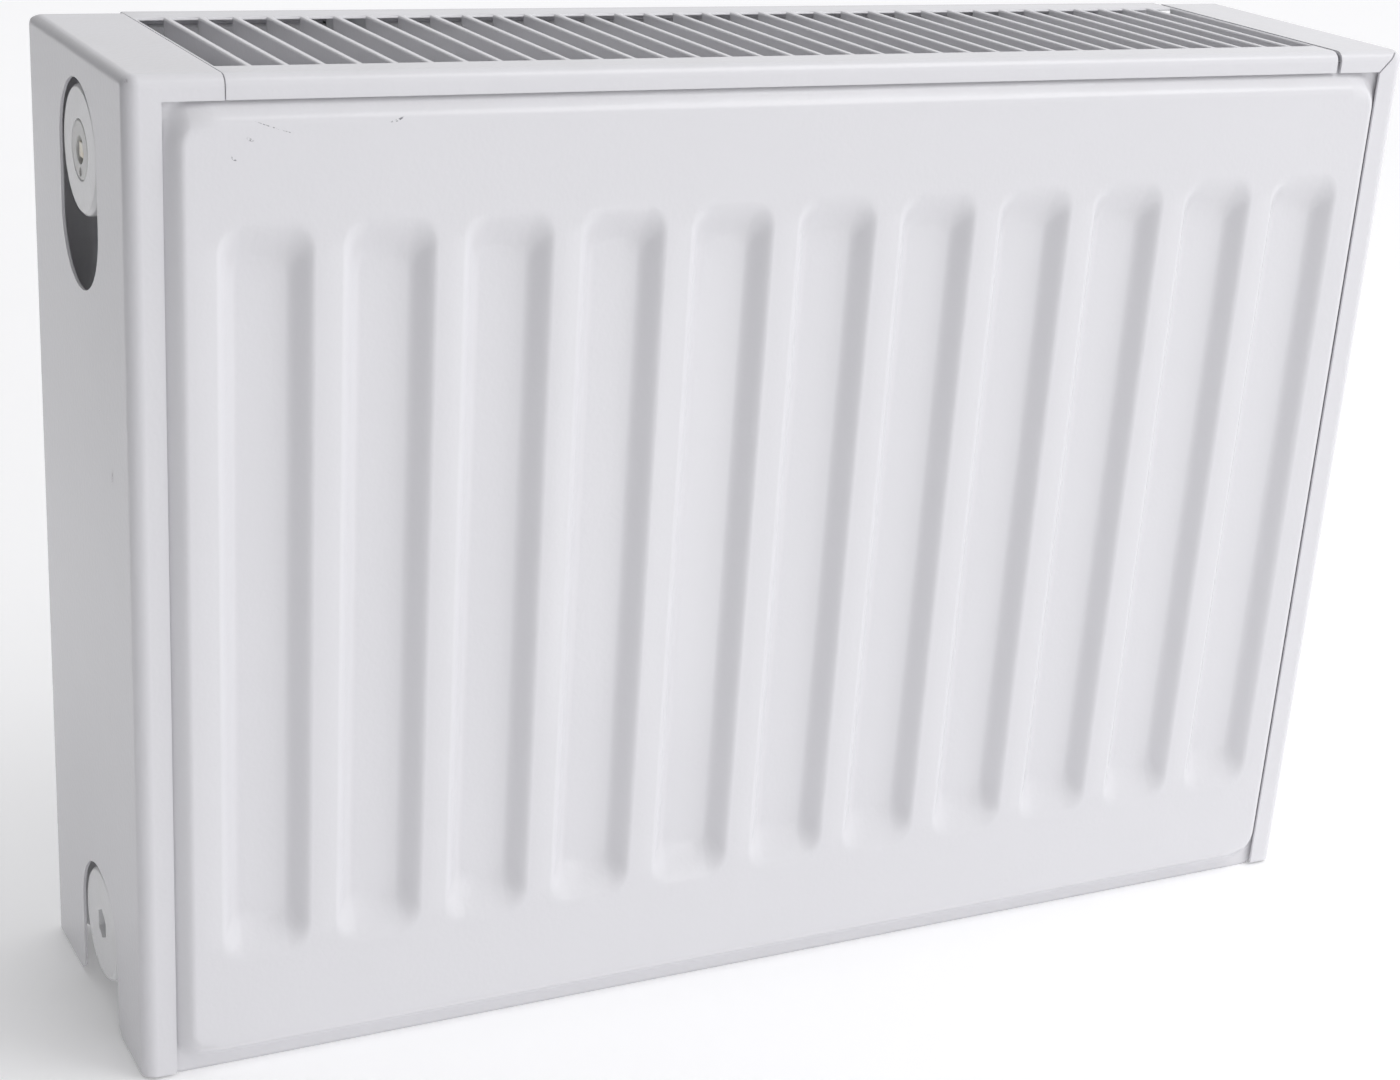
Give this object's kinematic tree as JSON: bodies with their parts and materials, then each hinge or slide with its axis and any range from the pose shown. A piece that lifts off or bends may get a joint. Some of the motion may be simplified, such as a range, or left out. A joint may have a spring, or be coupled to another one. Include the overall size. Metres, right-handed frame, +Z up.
{
  "type": "panel radiator",
  "caption": "Steel panel radiator with two grooved water panels, convector fins, clip-on side covers, slotted top grille, hanging lugs, and a vent plug and blanking plug in the left ports.",
  "frame": {"origin": "middle of the bounding box's underside: the radiator's bottom edges stand at z = 0", "axes": "+Z up; the front panel faces -Y and the wall is on the +Y side; +X is to the viewer's right"},
  "size_m": [0.4, 0.11, 0.28],
  "materials": {
    "painted_white": "gloss white stove enamel over pressed steel",
    "cover_white": "gloss white enamel on thin folded sheet",
    "spring_steel": "bare spring steel",
    "plug_white": "white enamelled plug",
    "seal_rubber": "black flat seal",
    "outlet_plastic": "white moulded plastic",
    "screw_brass": "turned brass"
  },
  "bodies": {
    "radiator": {"front_panel_outer_sheet": "painted_white", "front_panel_inner_sheet": "painted_white", "rear_panel_inner_sheet": "painted_white", "rear_panel_outer_sheet": "painted_white", "front_convector": "painted_white", "rear_convector": "painted_white", "upper_left_tee": "painted_white", "upper_right_tee": "painted_white", "lower_left_tee": "painted_white", "lower_right_tee": "painted_white", "upper_left_lug": "painted_white", "upper_right_lug": "painted_white", "lower_left_lug": "painted_white", "lower_right_lug": "painted_white", "vent_plug_body": "plug_white", "vent_plug_seal": "seal_rubber", "blanking_plug": "plug_white", "blanking_plug_seal": "seal_rubber"},
    "grille": {"top_grille": "cover_white", "grille_clips": "spring_steel"},
    "left_cover": {"left_side_cover": "cover_white", "left_cover_clips": "spring_steel"},
    "right_cover": {"right_side_cover": "cover_white", "right_cover_clips": "spring_steel"},
    "outlet": {"vent_outlet": "outlet_plastic"},
    "screw": {"bleed_screw": "screw_brass"}
  },
  "joints": [
    {"name": "grille_lift", "type": "slide", "parent": "radiator", "child": "grille", "axis": [0, 0, 1], "range_m": [0, 0.05]},
    {"name": "left_cover_pull", "type": "slide", "parent": "radiator", "child": "left_cover", "axis": [-1, 0, 0], "range_m": [0, 0.06]},
    {"name": "right_cover_pull", "type": "slide", "parent": "radiator", "child": "right_cover", "axis": [1, 0, 0], "range_m": [0, 0.06]},
    {"name": "outlet_swivel", "type": "hinge", "parent": "radiator", "child": "outlet", "pos_m": [-0.197, -0.006, 0.253], "axis": [-1, 0, 0], "continuous": true},
    {"name": "bleed_screw_turn", "type": "hinge", "parent": "radiator", "child": "screw", "pos_m": [-0.19, -0.006, 0.253], "axis": [-1, 0, 0], "range_deg": [0, 540]}
  ]
}
